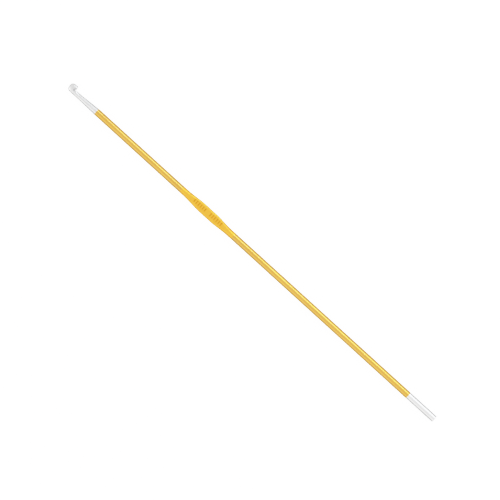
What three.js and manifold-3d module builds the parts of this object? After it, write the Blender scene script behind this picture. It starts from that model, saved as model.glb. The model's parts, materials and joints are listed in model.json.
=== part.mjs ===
// A single-ended aluminium crochet hook, 150 mm long and 2.25 mm thick.
//
// The hook is one drawn bar, worked into six zones that follow each other along X: a pressed hook
// head, a tapered neck, the front shank, a pressed thumb rest, the handle shank and a bare tail end.
// Each zone is a solid of its own and ends in the same flat section that the next one starts with.
//
// Millimetres, +Z up. +X runs from the hook head to the tail, the hook's mouth opens towards +Y, and
// the thumb rest's flats face +Z and -Z. The origin is the bottom centre of the whole hook.

import * as THREE from 'three';
import { mergeVertices } from 'three/addons/utils/BufferGeometryUtils.js';
import Module from 'manifold-3d';

const wasm = await Module();
wasm.setup();

// ---- Driving dimensions -----------------------------------------------------------------------
// Places along the bar are distances from the nose. Heights across it are from the bar's own axis.

const LENGTH = 150;
const RADIUS = 2.25 / 2;
const SIDES = 48;

const HEAD_END = 4.2; // where the head meets the neck
const NECK_END = 11.5; // where the anodised finish starts
const TAIL_START = 139.2; // where the anodised finish ends
const TAIL_CHAMFER = 0.15;

// The head is pressed, so it is taller than the bar and thinner than it, with a flat on each side.
const HEAD_TOP = 1.92;
const HEAD_HALF_THICKNESS = 0.8;
const HEAD_HALF_ROUND = 1.02; // half the thickness that its rounded edges would reach without flats
const NOSE_HEIGHT = 0.6;
const NOSE_LENGTH = 1.5;
const NOSE_BLUNTNESS = 2.6; // exponent of the nose's superellipse, where 2 is a plain ellipse

// The throat is the thin start of the neck, just behind the mouth.
const THROAT_TOP = 0.67;
const THROAT_BOTTOM = -0.98;

// The mouth is a notch that undercuts the lip down to a round root, slopes up to the throat's top,
// and runs level along it for as long as the pressed head is taller than the neck.
const LIP_TOP = 2.34; // where the lip's end meets the head's top
const LIP_TIP = { along: 2.5, height: 0.93 };
const ROOT = { along: 2.1, height: 0.42, radius: 0.12 };
const THROAT_START = 2.64; // where the notch has come up to the throat's top
const PRESS_END = 3.4; // where the pressed head has faded out into the round neck

// The thumb rest is pressed flat from both sides, so it spreads sideways where it gets thinner.
const REST_CENTRE = 57;
const REST_HALF_LENGTH = 10.5;
const FLAT_HALF_LENGTH = 2.5;
const FLAT_HALF_THICKNESS = 0.7;

// Shallow stamped ticks on the upper flat, in two groups with a plain gap between them.
const TICK = { wide: 0.3, tall: 1.2, deep: 0.1, height: 0.15 };
const TICKS_PER_GROUP = 6;
const TICK_PITCH = 0.85;
const TICK_GAP = 2.2; // plain middle between the two groups' first ticks

// ---- Sections ---------------------------------------------------------------------------------

const { lerp, smoothstep } = THREE.MathUtils;

// A round section that grows from the throat to the full bar.
function neckSection(d) {
  const s = Math.max(0, (d - HEAD_END) / (NECK_END - HEAD_END));
  const top = lerp(THROAT_TOP, RADIUS, s);
  const bottom = lerp(THROAT_BOTTOM, -RADIUS, s);
  const radius = (top - bottom) / 2;
  return { centre: (top + bottom) / 2, halfY: radius, halfZ: radius, clip: radius };
}

const shankSection = () => ({ centre: 0, halfY: RADIUS, halfZ: RADIUS, clip: RADIUS });

// The head swells from the nose to its full size, and comes down to the neck behind the lip.
function headSection(d) {
  const nose = Math.min(1, d / NOSE_LENGTH);
  const swell = (1 - (1 - nose) ** NOSE_BLUNTNESS) ** (1 / NOSE_BLUNTNESS);
  const back = smoothstep(d, LIP_TIP.along, PRESS_END);
  const neck = neckSection(d);
  const top = lerp(lerp(NOSE_HEIGHT, HEAD_TOP, swell), neck.centre + neck.halfY, back);
  const bottom = lerp(NOSE_HEIGHT, THROAT_BOTTOM, swell);
  const halfZ = lerp(HEAD_HALF_ROUND * swell, neck.halfZ, back);
  const clip = lerp(HEAD_HALF_THICKNESS * swell, neck.clip, back);
  return { centre: (top + bottom) / 2, halfY: (top - bottom) / 2, halfZ, clip };
}

// Half the thickness of the pressed thumb rest at distance d: flat in the middle, with smooth ramps.
function restHalfThickness(d) {
  const out = Math.abs(d - REST_CENTRE);
  const ramp = smoothstep(out, FLAT_HALF_LENGTH, REST_HALF_LENGTH);
  return lerp(FLAT_HALF_THICKNESS, RADIUS, ramp);
}

// Pressing moves metal and loses none, so the section keeps its area: an ellipse of half height
// RADIUS that is cut at the flats has the bar's area when its half width is this.
function restSection(d) {
  const clip = restHalfThickness(d);
  const angle = Math.asin(Math.min(1, clip / RADIUS));
  const halfY = (Math.PI * RADIUS) / (2 * (angle + Math.sin(angle) * Math.cos(angle)));
  return { centre: 0, halfY, halfZ: RADIUS, clip };
}

function tailSection(d) {
  const radius = RADIUS - Math.max(0, d - (LENGTH - TAIL_CHAMFER));
  return { centre: 0, halfY: radius, halfZ: radius, clip: radius };
}

// ---- Solids -----------------------------------------------------------------------------------

// The bar's axis in the hook's own frame, so that the whole hook is centred and stands on Z = 0.
const AXIS_Y = (restSection(REST_CENTRE).halfY - HEAD_TOP) / 2;
const AXIS_Z = RADIUS;
const NOSE_X = -LENGTH / 2;

// Evenly spaced distances from one end of a zone to the other.
const steps = (from, to, count) =>
  Array.from({ length: count + 1 }, (_, i) => lerp(from, to, i / count));

// A unit bar turned on the lathe, then given its real section at each distance.
function zone(distances, sectionAt) {
  const rim = distances.filter((d) => d > 0).map((d) => new THREE.Vector2(1, d));
  const ends = [distances[0], distances[distances.length - 1]];
  const [first, last] = ends.map((d) => new THREE.Vector2(0, d));
  const geometry = new THREE.LatheGeometry([first, ...rim, last], SIDES);
  const position = geometry.getAttribute('position');
  for (let i = 0; i < position.count; i++) {
    const d = position.getY(i);
    const { centre, halfY, halfZ, clip } = sectionAt(d);
    const y = centre + halfY * position.getZ(i);
    const z = THREE.MathUtils.clamp(halfZ * position.getX(i), -clip, clip);
    position.setXYZ(i, NOSE_X + d, AXIS_Y + y, AXIS_Z + z);
  }
  return geometry;
}

function toManifold(geometry) {
  const bare = geometry.clone();
  bare.deleteAttribute('normal');
  bare.deleteAttribute('uv');
  const merged = mergeVertices(bare, 1e-4);
  const vertProperties = new Float32Array(merged.getAttribute('position').array);
  const triVerts = new Uint32Array(merged.index.array);
  return new wasm.Manifold(new wasm.Mesh({ numProp: 3, vertProperties, triVerts }));
}

function toGeometry(solid) {
  const mesh = solid.getMesh();
  const geometry = new THREE.BufferGeometry();
  geometry.setAttribute('position', new THREE.BufferAttribute(mesh.vertProperties, 3));
  geometry.setIndex(new THREE.BufferAttribute(mesh.triVerts, 1));
  geometry.computeVertexNormals();
  return geometry;
}

// The angle at which a line from a point outside the root touches it, on its left or right.
function rootTangent(along, height, side) {
  const [x, y] = [along - ROOT.along, height - ROOT.height];
  return Math.atan2(y, x) + side * Math.acos(ROOT.radius / Math.hypot(x, y));
}

// The notch that makes the mouth, cut straight through the head from side to side.
function mouthCutter() {
  const above = HEAD_TOP + 1;
  const lean = (LIP_TIP.along - LIP_TOP) / (HEAD_TOP - LIP_TIP.height);
  const through = 2 * RADIUS;
  const underLip = rootTangent(LIP_TIP.along, LIP_TIP.height, 1);
  const towardsThroat = rootTangent(THROAT_START, THROAT_TOP, -1) + 2 * Math.PI;
  const outline = new THREE.Shape();
  outline.moveTo(LIP_TOP - lean * (above - HEAD_TOP), above);
  outline.lineTo(LIP_TIP.along, LIP_TIP.height);
  outline.absarc(ROOT.along, ROOT.height, ROOT.radius, underLip, towardsThroat, false);
  outline.lineTo(THROAT_START, THROAT_TOP);
  outline.lineTo(PRESS_END, THROAT_TOP);
  outline.lineTo(PRESS_END, above);
  const geometry = new THREE.ExtrudeGeometry(outline, {
    depth: 2 * through,
    bevelEnabled: false,
    curveSegments: 12,
  });
  return geometry.translate(NOSE_X, AXIS_Y, AXIS_Z - through);
}

function hookHead() {
  // Stations close together at the nose and behind the lip, where the section changes fastest.
  const nose = steps(0, 1, 12).map((u) => NOSE_LENGTH * u * u);
  const back = steps(LIP_TIP.along, PRESS_END, 8);
  const blank = toManifold(zone([...nose, ...back, HEAD_END], headSection));
  return toGeometry(blank.subtract(toManifold(mouthCutter())));
}

function thumbRest() {
  const distances = steps(REST_CENTRE - REST_HALF_LENGTH, REST_CENTRE + REST_HALF_LENGTH, 42);
  let solid = toManifold(zone(distances, restSection));
  for (const side of [-1, 1]) {
    for (let i = 0; i < TICKS_PER_GROUP; i++) {
      const d = REST_CENTRE + side * (TICK_GAP / 2 + i * TICK_PITCH);
      const tick = new THREE.BoxGeometry(TICK.wide, TICK.tall, 2 * TICK.deep);
      tick.translate(NOSE_X + d, AXIS_Y + TICK.height, AXIS_Z + restHalfThickness(d));
      solid = solid.subtract(toManifold(tick));
    }
  }
  return toGeometry(solid);
}

// ---- The hook ---------------------------------------------------------------------------------

const bareAluminium = { color: 0xd9dadb, roughness: 0.35, metalness: 1 };
const goldAnodised = { color: 0xe2a62e, roughness: 0.3, metalness: 1 };

const REST_START = REST_CENTRE - REST_HALF_LENGTH;
const REST_END = REST_CENTRE + REST_HALF_LENGTH;

const zones = [
  ['hook_head', bareAluminium, hookHead()],
  ['tapered_neck', bareAluminium, zone([HEAD_END, NECK_END], neckSection)],
  ['front_shank', goldAnodised, zone([NECK_END, REST_START], shankSection)],
  ['thumb_rest', goldAnodised, thumbRest()],
  ['handle_shank', goldAnodised, zone([REST_END, TAIL_START], shankSection)],
  ['tail_end', bareAluminium, zone([TAIL_START, LENGTH - TAIL_CHAMFER, LENGTH], tailSection)],
];

const crochetHook = new THREE.Group();
for (const [name, finish, geometry] of zones) {
  const mesh = new THREE.Mesh(geometry, new THREE.MeshStandardMaterial(finish));
  mesh.name = name;
  crochetHook.add(mesh);
}

export default crochetHook;
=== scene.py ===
"""A single-ended aluminium crochet hook: fine surfaces, finishes, light and camera.

Shapes are made in millimetres along the bar, as (distance from the nose, height, depth) from the
bar's own axis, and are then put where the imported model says.
"""

import json
import math

import bmesh
import bpy
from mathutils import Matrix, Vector


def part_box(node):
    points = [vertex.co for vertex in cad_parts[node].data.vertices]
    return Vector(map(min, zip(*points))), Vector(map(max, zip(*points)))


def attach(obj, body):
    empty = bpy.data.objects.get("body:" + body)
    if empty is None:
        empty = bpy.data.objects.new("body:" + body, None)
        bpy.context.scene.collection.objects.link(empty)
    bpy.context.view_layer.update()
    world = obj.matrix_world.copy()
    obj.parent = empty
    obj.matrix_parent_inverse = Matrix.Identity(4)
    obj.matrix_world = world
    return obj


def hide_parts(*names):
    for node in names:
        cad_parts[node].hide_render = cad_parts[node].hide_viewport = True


MM = 0.001
BODY = "root"
BARE = "bare_aluminium"
GOLD = "gold_anodised_aluminium"

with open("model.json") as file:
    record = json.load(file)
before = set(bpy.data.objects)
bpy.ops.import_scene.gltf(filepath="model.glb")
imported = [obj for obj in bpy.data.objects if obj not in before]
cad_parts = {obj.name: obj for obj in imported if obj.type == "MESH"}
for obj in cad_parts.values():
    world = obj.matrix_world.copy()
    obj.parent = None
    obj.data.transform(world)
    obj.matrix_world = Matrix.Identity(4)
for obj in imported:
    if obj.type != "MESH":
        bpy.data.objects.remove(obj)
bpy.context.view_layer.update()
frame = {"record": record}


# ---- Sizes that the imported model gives, in mm -------------------------------------------------

def box_mm(node):
    low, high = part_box(node)
    return low / MM, high / MM


def along(x):
    """The distance from the nose of a place on X, in mm."""
    return x - NOSE_X


HEAD_LOW, HEAD_HIGH = box_mm("hook_head")
SHANK_LOW, SHANK_HIGH = box_mm("handle_shank")
REST_LOW, REST_HIGH = box_mm("thumb_rest")
TAIL_LOW, TAIL_HIGH = box_mm("tail_end")

NOSE_X = HEAD_LOW.x
AXIS_Y = (SHANK_LOW.y + SHANK_HIGH.y) / 2
AXIS_Z = (SHANK_LOW.z + SHANK_HIGH.z) / 2
RADIUS = (SHANK_HIGH.z - SHANK_LOW.z) / 2
LENGTH = along(TAIL_HIGH.x)

HEAD_END = along(HEAD_HIGH.x)
NECK_END = along(box_mm("front_shank")[0].x)
REST_START = along(REST_LOW.x)
REST_END = along(REST_HIGH.x)
TAIL_START = along(TAIL_LOW.x)

HEAD_TOP = HEAD_HIGH.y - AXIS_Y
THROAT_BOTTOM = HEAD_LOW.y - AXIS_Y
THROAT_TOP = THROAT_BOTTOM + HEAD_HIGH.z - HEAD_LOW.z  # the throat is round

REST_CENTRE = (REST_START + REST_END) / 2
REST_HALF_LENGTH = (REST_END - REST_START) / 2
FLAT_MOUNT = next(m for m in frame["record"]["mounts"] if m["name"] == "thumb_rest_top")
FLAT_HALF_THICKNESS = FLAT_MOUNT["pos_m"][2] / MM - AXIS_Z

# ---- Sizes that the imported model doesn't give, in mm --------------------------------------------

FLAT_HALF_LENGTH = 2.5
HEAD_HALF_THICKNESS = 0.8
HEAD_HALF_ROUND = 1.02
NOSE_HEIGHT = 0.6
NOSE_LENGTH = 1.5
NOSE_BLUNTNESS = 2.6
LIP_TOP = 2.34
LIP_TIP_ALONG, LIP_TIP_HEIGHT = 2.5, 0.93
THROAT_START = 2.64
PRESS_END = 3.4
ROOT_ALONG, ROOT_HEIGHT, ROOT_RADIUS = 2.1, 0.42, 0.12
TICK_WIDE, TICK_TALL, TICK_DEEP, TICK_HEIGHT = 0.3, 1.2, 0.1, 0.15
TICKS_PER_GROUP, TICK_PITCH, TICK_GAP = 6, 0.85, 2.2

# The fine shape that the CAD leaves out.
SIDES = 128
HEAD_VOXEL = 0.03
HEAD_POLISH = 18  # rounds of smoothing, which take the sharp edges off the head
MOUTH_BEVEL, MOUTH_BEVEL_DEPTH = 0.2, 0.5
FLAT_EDGE_ROUND = 0.2
# A tick's own finish carries painted shade.
TICK_SHOULDER = 0.008  # how far down a tick's own finish starts
TICK_PROFILE = ((-TICK_DEEP, 0.55), (-TICK_DEEP * 0.6, 0.85), (TICK_DEEP, 1.25))  # (height, share of width)
TAIL_ROUND = 0.16
SHARP_ANGLE = math.radians(38)


# ---- Sections ---------------------------------------------------------------------------------

def mix(a, b, t):
    return a + (b - a) * t


def smooth(x, start, end):
    t = min(1.0, max(0.0, (x - start) / (end - start)))
    return t * t * (3 - 2 * t)


def soft_min(a, b, width):
    """The smaller of a and b, with a rounding of that width where they cross."""
    if width <= 0:
        return min(a, b)
    near = max(0.0, width - abs(a - b)) / width
    return min(a, b) - near * near * width / 4


def neck_section(d):
    """(centre height, half height, half depth, flat) of the neck: round, growing from the throat."""
    t = max(0.0, (d - HEAD_END) / (NECK_END - HEAD_END))
    top, bottom = mix(THROAT_TOP, RADIUS, t), mix(THROAT_BOTTOM, -RADIUS, t)
    radius = (top - bottom) / 2
    return (top + bottom) / 2, radius, radius, None


def head_section(d):
    """The head before its mouth is cut: swelling from the nose, and coming down behind the lip."""
    nose = min(1.0, d / NOSE_LENGTH)
    swell = (1 - (1 - nose) ** NOSE_BLUNTNESS) ** (1 / NOSE_BLUNTNESS)
    back = smooth(d, LIP_TIP_ALONG, PRESS_END)
    centre, radius, _, _ = neck_section(d)
    top = mix(mix(NOSE_HEIGHT, HEAD_TOP, swell), centre + radius, back)
    bottom = mix(NOSE_HEIGHT, THROAT_BOTTOM, swell)
    depth = mix(HEAD_HALF_ROUND * swell, radius, back)
    flat = mix(HEAD_HALF_THICKNESS * swell, radius, back)
    return (top + bottom) / 2, (top - bottom) / 2, depth, flat


def shank_section(_):
    return 0.0, RADIUS, RADIUS, None


def rest_half_thickness(d):
    ramp = smooth(abs(d - REST_CENTRE), FLAT_HALF_LENGTH, REST_HALF_LENGTH)
    return mix(FLAT_HALF_THICKNESS, RADIUS, ramp)


def rest_section(d):
    """The thumb rest: pressing keeps the section's area, so it gets wider as it gets thinner."""
    flat = rest_half_thickness(d)
    angle = math.asin(min(1.0, flat / RADIUS))
    half = math.pi * RADIUS / (2 * (angle + math.sin(angle) * math.cos(angle)))
    return 0.0, half, RADIUS, flat


def tail_section(d):
    """The tail, whose cut end is rounded over."""
    past = max(0.0, d - (LENGTH - TAIL_ROUND)) / TAIL_ROUND
    radius = RADIUS - TAIL_ROUND * (1 - math.sqrt(max(0.0, 1 - past * past)))
    return 0.0, radius, radius, None


# ---- Meshes -----------------------------------------------------------------------------------

def spaced(start, end, count):
    return [mix(start, end, i / count) for i in range(count + 1)]


def to_object(name, bm):
    mesh = bpy.data.meshes.new(name)
    bm.to_mesh(mesh)
    bm.free()
    piece = bpy.data.objects.new(name, mesh)
    bpy.context.scene.collection.objects.link(piece)
    return piece


def loft(name, loops, tip=None):
    """A closed mesh whose skin runs through these loops of points, from a tip if there is one."""
    bm = bmesh.new()
    rings = [[bm.verts.new(point) for point in loop] for loop in loops]
    following = [*range(1, len(loops[0])), 0]
    for near, far in zip(rings, rings[1:]):
        for i, j in enumerate(following):
            bm.faces.new((near[i], near[j], far[j], far[i]))
    if tip is None:
        bm.faces.new(list(reversed(rings[0])))
    else:
        end = bm.verts.new(tip)
        for i, j in enumerate(following):
            bm.faces.new((end, rings[0][j], rings[0][i]))
    bm.faces.new(rings[-1])
    bmesh.ops.recalc_face_normals(bm, faces=bm.faces)
    return to_object(name, bm)


def ring(section_at, d):
    """The points of one section, counter-clockwise when seen from the tail."""
    centre, half_y, half_z, flat = section_at(d)
    points = []
    for i in range(SIDES):
        a = 2 * math.pi * i / SIDES
        z = half_z * math.sin(a)
        if flat is not None:
            z = math.copysign(soft_min(abs(z), flat, min(FLAT_EDGE_ROUND, half_z - flat)), z)
        points.append((d, centre + half_y * math.cos(a), z))
    return points


def zone(name, distances, section_at):
    """A closed mesh through the sections at these distances. It starts in a point where d is 0."""
    tip = None if distances[0] > 0 else (0, section_at(0)[0], 0)
    return loft(name, [ring(section_at, d) for d in distances if d > 0], tip)


def apply_modifiers(piece):
    """Turns the piece's modifiers into its mesh."""
    depsgraph = bpy.context.evaluated_depsgraph_get()
    made = bpy.data.meshes.new_from_object(piece.evaluated_get(depsgraph))
    piece.modifiers.clear()
    old, piece.data = piece.data, made
    bpy.data.meshes.remove(old)


def cut(piece, cutter):
    """Takes cutter's shape out of the piece."""
    modifier = piece.modifiers.new("cut", "BOOLEAN")
    modifier.operation = "DIFFERENCE"
    modifier.solver = "EXACT"
    modifier.object = cutter
    apply_modifiers(piece)
    bpy.data.objects.remove(cutter)


def crop_after(piece, d):
    """Cuts the piece off square at distance d and closes it."""
    bm = bmesh.new()
    bm.from_mesh(piece.data)
    everything = bm.verts[:] + bm.edges[:] + bm.faces[:]
    done = bmesh.ops.bisect_plane(
        bm, geom=everything, plane_co=(d, 0, 0), plane_no=(1, 0, 0), clear_outer=True
    )
    rim = [e for e in done["geom_cut"] if isinstance(e, bmesh.types.BMEdge)]
    bmesh.ops.edgeloop_fill(bm, edges=rim)
    bmesh.ops.recalc_face_normals(bm, faces=bm.faces)
    bm.to_mesh(piece.data)
    bm.free()


def use_second_finish(piece, belongs):
    """Gives the piece's second finish to the faces whose middles pass this test."""
    for face in piece.data.polygons:
        face.material_index = 1 if belongs(*face.center) else 0


# ---- The hook head ----------------------------------------------------------------------------

def mouth_outline(wider=0.0):
    """The notch behind the lip, in (d, height): down the lip's end, under it to a round root, up to
    the throat and back along it. Its faces can be set back by some mm, and the lip's end by less."""
    radius = ROOT_RADIUS + wider
    lean = (LIP_TIP_ALONG - LIP_TOP) / (HEAD_TOP - LIP_TIP_HEIGHT)
    above = HEAD_TOP + 1
    tip = (LIP_TIP_ALONG - wider / 2, LIP_TIP_HEIGHT + wider / 4)
    throat = (THROAT_START + wider / 2, THROAT_TOP)

    def touch(point, side):
        """The angle at which a line from this point touches the root's circle."""
        x, y = point[0] - ROOT_ALONG, point[1] - ROOT_HEIGHT
        return math.atan2(y, x) + side * math.acos(radius / math.hypot(x, y))

    root = [(ROOT_ALONG + radius * math.cos(a), ROOT_HEIGHT + radius * math.sin(a))
            for a in spaced(touch(tip, 1), touch(throat, -1) + 2 * math.pi, 16)]
    top = (tip[0] - lean * (above - tip[1]), above)
    return [top, tip, *root, throat, (PRESS_END, THROAT_TOP), (PRESS_END, above)]


def mouth_cutter():
    """A cutter through the head from side to side, which also bevels the mouth's edges."""
    outside, face = 2 * RADIUS, HEAD_HALF_THICKNESS
    half = ((outside, MOUTH_BEVEL), (face, MOUTH_BEVEL), (face - MOUTH_BEVEL_DEPTH, 0.0))
    levels = [(-z, wider) for z, wider in half] + list(reversed(half))
    return loft("mouth_cutter", [[(d, y, z) for d, y in mouth_outline(wider)] for z, wider in levels])


def is_inside(outline, x, y):
    """Whether a point is inside an outline: a line from it crosses the outline an odd number of times."""
    crossings = 0
    for (x0, y0), (x1, y1) in zip(outline, outline[1:] + outline[:1]):
        if (y0 > y) != (y1 > y) and x < mix(x0, x1, (y - y0) / (y1 - y0)):
            crossings += 1
    return crossings % 2 == 1


def make_head():
    """The hook head, cut from its blank, then remeshed and smoothed so that its edges are polished.
    The mouth's faces take the second finish, which is painted darker as shade in the mouth."""
    spare = 0.6  # the blank is this much too long, so that smoothing doesn't shrink its end
    nose = [NOSE_LENGTH * u * u for u in spaced(0, 1, 28)]
    rest = spaced(NOSE_LENGTH, HEAD_END + spare, 50)[1:]
    head = zone("hook_head_polished", nose + rest, head_section)
    cut(head, mouth_cutter())
    remesh = head.modifiers.new("voxels", "REMESH")
    remesh.mode = "VOXEL"
    remesh.voxel_size = HEAD_VOXEL
    polish = head.modifiers.new("polish", "SMOOTH")
    polish.factor = 0.5
    polish.iterations = HEAD_POLISH
    apply_modifiers(head)
    # Behind the mouth the surface goes over to the neck's own cone, so that the zones meet exactly.
    for v in head.data.vertices:
        centre, radius, _, _ = neck_section(v.co.x)
        y, z = v.co.y - centre, v.co.z
        share = smooth(v.co.x, THROAT_START - 0.1, PRESS_END)
        scale = mix(1, radius / max(math.hypot(y, z), 1e-6), share)
        v.co.y, v.co.z = centre + y * scale, z * scale
    crop_after(head, HEAD_END)
    # The mouth's faces, which get the milled finish's painted shade.
    milled = mouth_outline(MOUTH_BEVEL + HEAD_VOXEL)[1:-2]
    use_second_finish(head, lambda d, y, z: is_inside(milled, d, y))
    return head


# ---- The thumb rest and the tail ----------------------------------------------------------------

def rounded_tick(d):
    """A cutter for one stamped tick, with rounded ends and sloping walls."""
    corner = TICK_WIDE / 2
    surface = rest_half_thickness(d)
    loops = []
    for height, spread in TICK_PROFILE:
        loop = []
        for end in (1, -1):
            for a in spaced(0, math.pi, 8):
                x = corner * math.cos(a) * end * spread
                y = end * (TICK_TALL / 2 - corner) + corner * math.sin(a) * end * spread
                loop.append((d + x, TICK_HEIGHT + y, surface + height))
        loops.append(loop)
    return loft("tick_cutter", loops)


def make_thumb_rest():
    """The thumb rest with its stamped ticks, whose faces take the second finish, painted darker as shade in
    the recesses.
    """
    rest = zone("thumb_rest_pressed", spaced(REST_START, REST_END, 150), rest_section)
    ticks = [REST_CENTRE + side * (TICK_GAP / 2 + i * TICK_PITCH)
             for side in (-1, 1) for i in range(TICKS_PER_GROUP)]
    for tick in ticks:
        cut(rest, rounded_tick(tick))

    def in_painted_shade_tick(d, y, z):
        beside = min(abs(d - tick) for tick in ticks) < TICK_WIDE
        level = abs(y - TICK_HEIGHT) < TICK_TALL / 2 + TICK_SHOULDER
        return beside and level and 0 < z < rest_half_thickness(d) - TICK_SHOULDER

    use_second_finish(rest, in_painted_shade_tick)
    return rest


def make_tail():
    """The tail end, whose cut face takes the second finish."""
    end = LENGTH - TAIL_ROUND
    turns = [end + TAIL_ROUND * math.sin(a) for a in spaced(0, math.pi / 2, 8)]
    tail = zone("tail_end_cut", spaced(TAIL_START, end, 12)[:-1] + turns, tail_section)
    cut_face = LENGTH - 0.01
    use_second_finish(tail, lambda d, y, z: d > cut_face)
    return tail


# ---- Finishes ---------------------------------------------------------------------------------

class Nodes:
    """A metal, and a few short ways to add shader nodes to it."""

    def __init__(self, name):
        self.material = bpy.data.materials.new(name)
        self.material.use_nodes = True
        self.tree = self.material.node_tree
        self.shader = self.tree.nodes["Principled BSDF"]
        self.shader.inputs["Metallic"].default_value = 1.0

    def link(self, source, target):
        self.tree.links.new(source, target)

    def noise(self, stretch, detail=3.0, offset=0.0):
        """Noise whose grains have this length along X, Y and Z, in mm."""
        place = self.tree.nodes.new("ShaderNodeTexCoord")
        mapping = self.tree.nodes.new("ShaderNodeMapping")
        mapping.inputs["Location"].default_value = (offset, offset, offset)
        mapping.inputs["Scale"].default_value = [1 / (s * MM) for s in stretch]
        grain = self.tree.nodes.new("ShaderNodeTexNoise")
        grain.inputs["Scale"].default_value = 1.0
        grain.inputs["Detail"].default_value = detail
        self.link(place.outputs["Object"], mapping.inputs["Vector"])
        self.link(mapping.outputs["Vector"], grain.inputs["Vector"])
        return grain.outputs["Fac"]

    def colour(self, value, dark, light):
        """The base colour, which goes from dark to light with value."""
        ramp = self.tree.nodes.new("ShaderNodeValToRGB")
        for element, position, colour in zip(ramp.color_ramp.elements, NOISE_RANGE, (dark, light)):
            element.position = position
            element.color = (*colour, 1)
        self.link(value, ramp.inputs["Fac"])
        self.link(ramp.outputs["Color"], self.shader.inputs["Base Color"])

    def roughness(self, value, low, high):
        """The roughness, which goes from low to high with value."""
        spread = self.tree.nodes.new("ShaderNodeMapRange")
        spread.inputs["From Min"].default_value, spread.inputs["From Max"].default_value = NOISE_RANGE
        spread.inputs["To Min"].default_value = low
        spread.inputs["To Max"].default_value = high
        self.link(value, spread.inputs["Value"])
        self.link(spread.outputs["Result"], self.shader.inputs["Roughness"])

    def bump(self, value, height_mm, strength, under=None):
        bump = self.tree.nodes.new("ShaderNodeBump")
        bump.inputs["Strength"].default_value = strength
        bump.inputs["Distance"].default_value = height_mm * MM
        self.link(value, bump.inputs["Height"])
        if under is not None:
            self.link(under, bump.inputs["Normal"])
        self.link(bump.outputs["Normal"], self.shader.inputs["Normal"])
        return bump.outputs["Normal"]

    def oxide_coat(self, weight, index, roughness):
        """The clear oxide over a dyed, anodised surface."""
        self.shader.inputs["Coat Weight"].default_value = weight
        self.shader.inputs["Coat IOR"].default_value = index
        self.shader.inputs["Coat Roughness"].default_value = roughness


NOISE_RANGE = (0.3, 0.7)  # noise seldom leaves this range


def grey(level):
    return (level, level, level)


def gold_finish():
    """Satin gold anodising over lengthwise drawing lines."""
    n = Nodes("gold_anodised")
    lines = n.noise((9.0, 0.07, 0.07), detail=4)
    n.colour(n.noise((14.0, 1.6, 1.6), offset=7), (0.765, 0.445, 0.005), (0.825, 0.49, 0.012))
    n.roughness(lines, 0.2, 0.36)
    n.bump(lines, 0.008, 0.5)
    n.oxide_coat(1.0, 1.96, 0.07)
    return n.material


def pressed_gold_painted_light_finish():
    """The same anodising over the thumb rest, which the press leaves duller than the drawn bar. Its base
    colour is painted lighter than the bar's: painted light for the brighter light that the flat catches.
    """
    n = Nodes("gold_anodised_pressed_painted_light")
    lines = n.noise((4.0, 0.09, 0.09), detail=4)
    # Painted light: a lighter base than the drawn bar's, for the brighter light on the flat.
    n.colour(n.noise((2.5, 0.9, 0.9), offset=5), (0.95, 0.535, 0.022), (0.99, 0.58, 0.034))
    n.roughness(lines, 0.3, 0.46)
    n.bump(lines, 0.008, 0.5)
    n.oxide_coat(0.6, 1.76, 0.3)
    return n.material


def stamped_gold_painted_shade_finish():
    """Inside the stamped ticks the anodising is dull, and painted darker: painted shade in the recesses."""
    n = Nodes("gold_anodised_stamped_painted_shade")
    grains = n.noise((0.15, 0.15, 0.15), detail=4, offset=9)
    # Painted shade: darker than the flat's gold, for the shade inside the ticks.
    n.colour(grains, (0.66, 0.39, 0.01), (0.84, 0.48, 0.02))
    n.shader.inputs["Roughness"].default_value = 0.55
    n.bump(grains, 0.01, 0.5)
    return n.material


def bare_finish():
    """Bare polished aluminium with fine drawing lines."""
    n = Nodes("bare_aluminium_polished")
    lines = n.noise((6.0, 0.06, 0.06), detail=4, offset=3)
    n.colour(n.noise((3.0, 0.8, 0.8), offset=11), grey(0.84), grey(0.89))
    n.roughness(lines, 0.18, 0.34)
    n.bump(lines, 0.008, 0.5)
    return n.material


def turned_bare_finish():
    """The neck and head: turned and pressed, so duller than the drawn bar, and faintly scratched."""
    n = Nodes("bare_aluminium_turned")
    lines = n.noise((1.6, 0.07, 0.07), detail=4, offset=13)
    grains = n.noise((0.12, 0.12, 0.12), detail=2, offset=2)
    n.colour(n.noise((1.5, 0.7, 0.7), offset=15), grey(0.80), grey(0.85))
    n.roughness(lines, 0.18, 0.36)
    n.bump(grains, 0.004, 0.4, under=n.bump(lines, 0.006, 0.5))
    return n.material


def milled_bare_painted_shade_finish():
    """The mouth and the tail's face as the cutter leaves them: dull, with marks across them, and painted
    darker: painted shade in the mouth, which the tail's face shares.
    """
    n = Nodes("bare_aluminium_milled_painted_shade")
    marks = n.noise((0.05, 0.05, 1.2), detail=3, offset=4)
    # Painted shade: this grey is darker than the turned metal's, for the shade in the mouth.
    n.colour(marks, grey(0.64), grey(0.76))
    n.roughness(marks, 0.4, 0.55)
    n.bump(marks, 0.004, 0.5)
    return n.material


# ---- The hook ---------------------------------------------------------------------------------

def place(piece, node, slot, *finishes):
    """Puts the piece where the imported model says, in metres, and lets it stand for its node."""
    mesh = piece.data
    for v in mesh.vertices:
        v.co = Vector((NOSE_X + v.co.x, AXIS_Y + v.co.y, AXIS_Z + v.co.z)) * MM
    for finish in finishes:
        mesh.materials.append(finish)
    mesh.polygons.foreach_set("use_smooth", [True] * len(mesh.polygons))
    mesh.set_sharp_from_angle(angle=SHARP_ANGLE)
    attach(piece, BODY)
    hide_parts(node)


gold = gold_finish()
pressed_gold_painted_light = pressed_gold_painted_light_finish()
stamped_gold_painted_shade = stamped_gold_painted_shade_finish()
bare = bare_finish()
turned_bare = turned_bare_finish()
milled_bare_painted_shade = milled_bare_painted_shade_finish()

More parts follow.
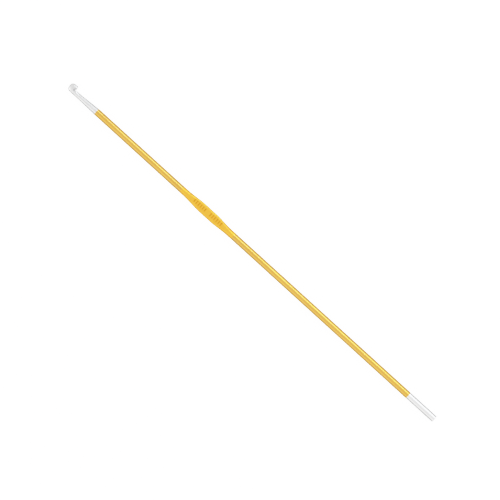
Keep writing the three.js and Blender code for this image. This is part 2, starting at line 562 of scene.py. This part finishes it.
head = make_head()
neck = zone("tapered_neck_turned", spaced(HEAD_END, NECK_END, 24), neck_section)
front = zone("front_shank_gold", spaced(NECK_END, REST_START, 24), shank_section)
rest = make_thumb_rest()
handle = zone("handle_shank_gold", spaced(REST_END, TAIL_START, 48), shank_section)
tail = make_tail()

place(head, "hook_head", BARE, turned_bare, milled_bare_painted_shade)
place(neck, "tapered_neck", BARE, turned_bare)
place(front, "front_shank", GOLD, gold)
place(rest, "thumb_rest", GOLD, pressed_gold_painted_light, stamped_gold_painted_shade)
place(handle, "handle_shank", GOLD, gold)
place(tail, "tail_end", BARE, bare, milled_bare_painted_shade)


# ---- Floor, lights and camera, in metres ----------------------------------------------------------

FLOOR_HALF = 1.5
FLOOR_ROUGHNESS, FLOOR_GLOSS = 0.9, 0.1
FLOOR_GREY, FLOOR_GLOW = 0.9, 1.1
# The mirrored sheet's glow is painted shade: the dimmer floor that the bar's edges reflect.
MIRRORED_DEPTH, MIRRORED_SHADE_GLOW = 0.0005, 0.65
WORLD_BRIGHTNESS = 0.86

CAMERA_LENS = 150
CAMERA_TURN = math.radians(42.3)
PICTURE_WIDTH = 0.15165  # what the picture's width takes in, at the hook
HOOK_RIGHT, HOOK_DOWN = 0.00046, 0.00084  # how far the hook's middle is from the picture's middle

# Light that the scene gives, and the level that the picture shows for it.
FILM_RESPONSE = ((0.8, 0.8), (1.0, 0.895), (1.3, 0.95))
FILM_BRIGHTEST = 2.0


def make_plane(name, height, level, glow):
    """A large level plane, painted this grey and lit from below as a light table is."""
    corners = [(x * FLOOR_HALF, y * FLOOR_HALF, height) for x, y in ((-1, -1), (1, -1), (1, 1), (-1, 1))]
    mesh = bpy.data.meshes.new(name)
    mesh.from_pydata(corners, [], [(0, 1, 2, 3)])
    plane = bpy.data.objects.new(name, mesh)
    bpy.context.scene.collection.objects.link(plane)
    paint = bpy.data.materials.new(name)
    paint.use_nodes = True
    shader = paint.node_tree.nodes["Principled BSDF"]
    shader.inputs["Base Color"].default_value = (*grey(level), 1)
    shader.inputs["Roughness"].default_value = FLOOR_ROUGHNESS
    shader.inputs["Specular IOR Level"].default_value = FLOOR_GLOSS
    shader.inputs["Emission Color"].default_value = (1, 1, 1, 1)
    shader.inputs["Emission Strength"].default_value = glow
    mesh.materials.append(paint)
    return plane


def make_floor():
    """A pale light table. The metal mirrors a greyer, glowing sheet under it, which keeps its edges dark: a
    painted reflection of the floor's shade beside the bar.
    """
    floor = make_plane("floor", 0, FLOOR_GREY, FLOOR_GLOW)
    floor.visible_glossy = False
    mirrored = make_plane("mirrored_painted_shade_sheet", -MIRRORED_DEPTH, 0.0, MIRRORED_SHADE_GLOW)
    mirrored.visible_camera = False
    mirrored.visible_diffuse = False


def make_light(name, middle_x, side, elevation, distance, width, length, watts, colour=(1, 1, 1)):
    """A long soft light beside the hook, parallel to it, at this elevation in degrees."""
    data = bpy.data.lights.new(name, "AREA")
    data.shape = "RECTANGLE"
    data.size, data.size_y = length, width
    data.energy = watts
    data.color = colour
    light = bpy.data.objects.new(name, data)
    bpy.context.scene.collection.objects.link(light)
    a = math.radians(elevation)
    light.location = (middle_x, side * distance * math.cos(a), distance * math.sin(a))
    light.rotation_euler = (side * (a - math.pi / 2), 0, 0)


def make_lights():
    """Two strips draw the bright lines along the bar, and two smaller panels fill in."""
    make_light("key_strip", middle_x=0.32, side=1, elevation=43, distance=0.5,
               width=0.17, length=0.9, watts=0.96, colour=(0.93, 1, 1.08))
    make_light("fill_strip", middle_x=-0.22, side=-1, elevation=38, distance=0.5,
               width=0.24, length=1.35, watts=0.36, colour=(1, 0.96, 0.9))
    make_light("top_panel", middle_x=0.25, side=1, elevation=89, distance=0.75,
               width=0.5, length=0.45, watts=0.07)
    make_light("nose_card", middle_x=-0.38, side=-1, elevation=62, distance=0.45,
               width=0.3, length=0.25, watts=0.28)


def make_world():
    world = bpy.data.worlds.new("studio")
    world.use_nodes = True
    background = world.node_tree.nodes["Background"]
    background.inputs["Color"].default_value = (1, 1, 1, 1)
    background.inputs["Strength"].default_value = WORLD_BRIGHTNESS
    bpy.context.scene.world = world


def make_camera():
    """Straight above, turned so that the hook lies across the picture, its head at the upper left."""
    data = bpy.data.cameras.new("camera")
    data.lens = CAMERA_LENS
    data.clip_start, data.clip_end = 0.01, 20
    camera = bpy.data.objects.new("camera", data)
    bpy.context.scene.collection.objects.link(camera)
    right = Vector((math.cos(CAMERA_TURN), math.sin(CAMERA_TURN), 0))
    up = Vector((-math.sin(CAMERA_TURN), math.cos(CAMERA_TURN), 0))
    middle = Vector((0, AXIS_Y, AXIS_Z)) * MM - HOOK_RIGHT * right + HOOK_DOWN * up
    height = PICTURE_WIDTH * data.lens / data.sensor_width
    camera.location = middle + Vector((0, 0, height))
    camera.rotation_euler = (0, 0, CAMERA_TURN)
    bpy.context.scene.camera = camera


def set_film_response():
    """Rolls the highlights off as a camera does, so that they keep their colour and don't clip."""
    view = bpy.context.scene.view_settings
    view.view_transform = "Standard"
    view.use_curve_mapping = True
    mapping = view.curve_mapping
    mapping.white_level = grey(FILM_BRIGHTEST)
    combined = mapping.curves[3]
    for scene_level, shown_level in FILM_RESPONSE:
        combined.points.new(scene_level / FILM_BRIGHTEST, shown_level)
    for point in combined.points[:2]:
        point.handle_type = "VECTOR"
    mapping.update()


make_floor()
make_lights()
make_world()
make_camera()
set_film_response()
